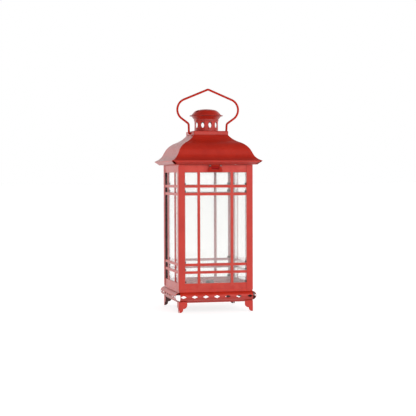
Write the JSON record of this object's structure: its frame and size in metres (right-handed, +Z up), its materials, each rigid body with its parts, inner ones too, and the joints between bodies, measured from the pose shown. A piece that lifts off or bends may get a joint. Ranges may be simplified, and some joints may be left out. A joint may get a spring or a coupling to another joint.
{
  "type": "candle lantern",
  "caption": "Square glazed candle lantern in red painted sheet steel with a hinged ogee roof, vented chimney, wire bail handle, front hasp, pierced base bands and scalloped feet.",
  "frame": {"origin": "centre of the square plan, on the surface that the four feet stand on", "axes": "+Z up; the front with the hasp faces -Y; +X is to the right seen from the front"},
  "size_m": [0.1814, 0.1814, 0.4427],
  "materials": {
    "red_paint": "satin red enamel over sheet steel",
    "clear_glass": "clear float glass",
    "bright_steel": "bright zinc plated pins",
    "grey_steel": "dull grey galvanised steel",
    "dark_steel": "dark oxidised steel tabs"
  },
  "bodies": {
    "body": {"candle_cup": "grey_steel", "corner_foot_front_left": "red_paint", "corner_foot_front_right": "red_paint", "corner_foot_rear_left": "red_paint", "corner_foot_rear_right": "red_paint", "corner_post_front_left": "red_paint", "corner_post_front_right": "red_paint", "corner_post_rear_left": "red_paint", "corner_post_rear_right": "red_paint", "floor_pan": "red_paint", "glass_clips": "dark_steel", "glass_pane_back": "clear_glass", "glass_pane_front": "clear_glass", "glass_pane_left": "clear_glass", "glass_pane_right": "clear_glass", "hinge_leaf_body": "red_paint", "hinge_pin": "bright_steel", "hinge_rivets_body": "red_paint", "latch_catch": "red_paint", "skirt_band_back": "red_paint", "skirt_band_front": "red_paint", "skirt_band_left": "red_paint", "skirt_band_right": "red_paint", "top_frame": "red_paint", "window_panel_back": "red_paint", "window_panel_front": "red_paint", "window_panel_left": "red_paint", "window_panel_right": "red_paint"},
    "roof": {"chimney_cap": "red_paint", "chimney_flare": "red_paint", "chimney_tube": "red_paint", "roof_collar": "red_paint", "roof_panel_back": "red_paint", "roof_panel_front": "red_paint", "roof_panel_left": "red_paint", "roof_panel_right": "red_paint", "roof_soffit": "red_paint", "hinge_leaf_roof": "red_paint", "hinge_rivets_roof": "red_paint", "hasp_bracket": "red_paint", "hasp_pin": "bright_steel"},
    "handle": {"carry_handle": "red_paint"},
    "hasp": {"hasp_loop": "red_paint"}
  },
  "joints": [
    {"name": "roof_hinge", "type": "hinge", "parent": "body", "child": "roof", "pos_m": [0, 0.078, 0.2866], "axis": [-1, 0, 0], "range_deg": [0, 95]},
    {"name": "handle_pivot", "type": "hinge", "parent": "roof", "child": "handle", "pos_m": [0, -0.006, 0.3524], "axis": [-1, 0, 0], "range_deg": [-87, 93]},
    {"name": "hasp_swing", "type": "hinge", "parent": "roof", "child": "hasp", "pos_m": [-0.0018, -0.0792, 0.2874], "axis": [1, 0, 0], "range_deg": [-85, 0]}
  ]
}
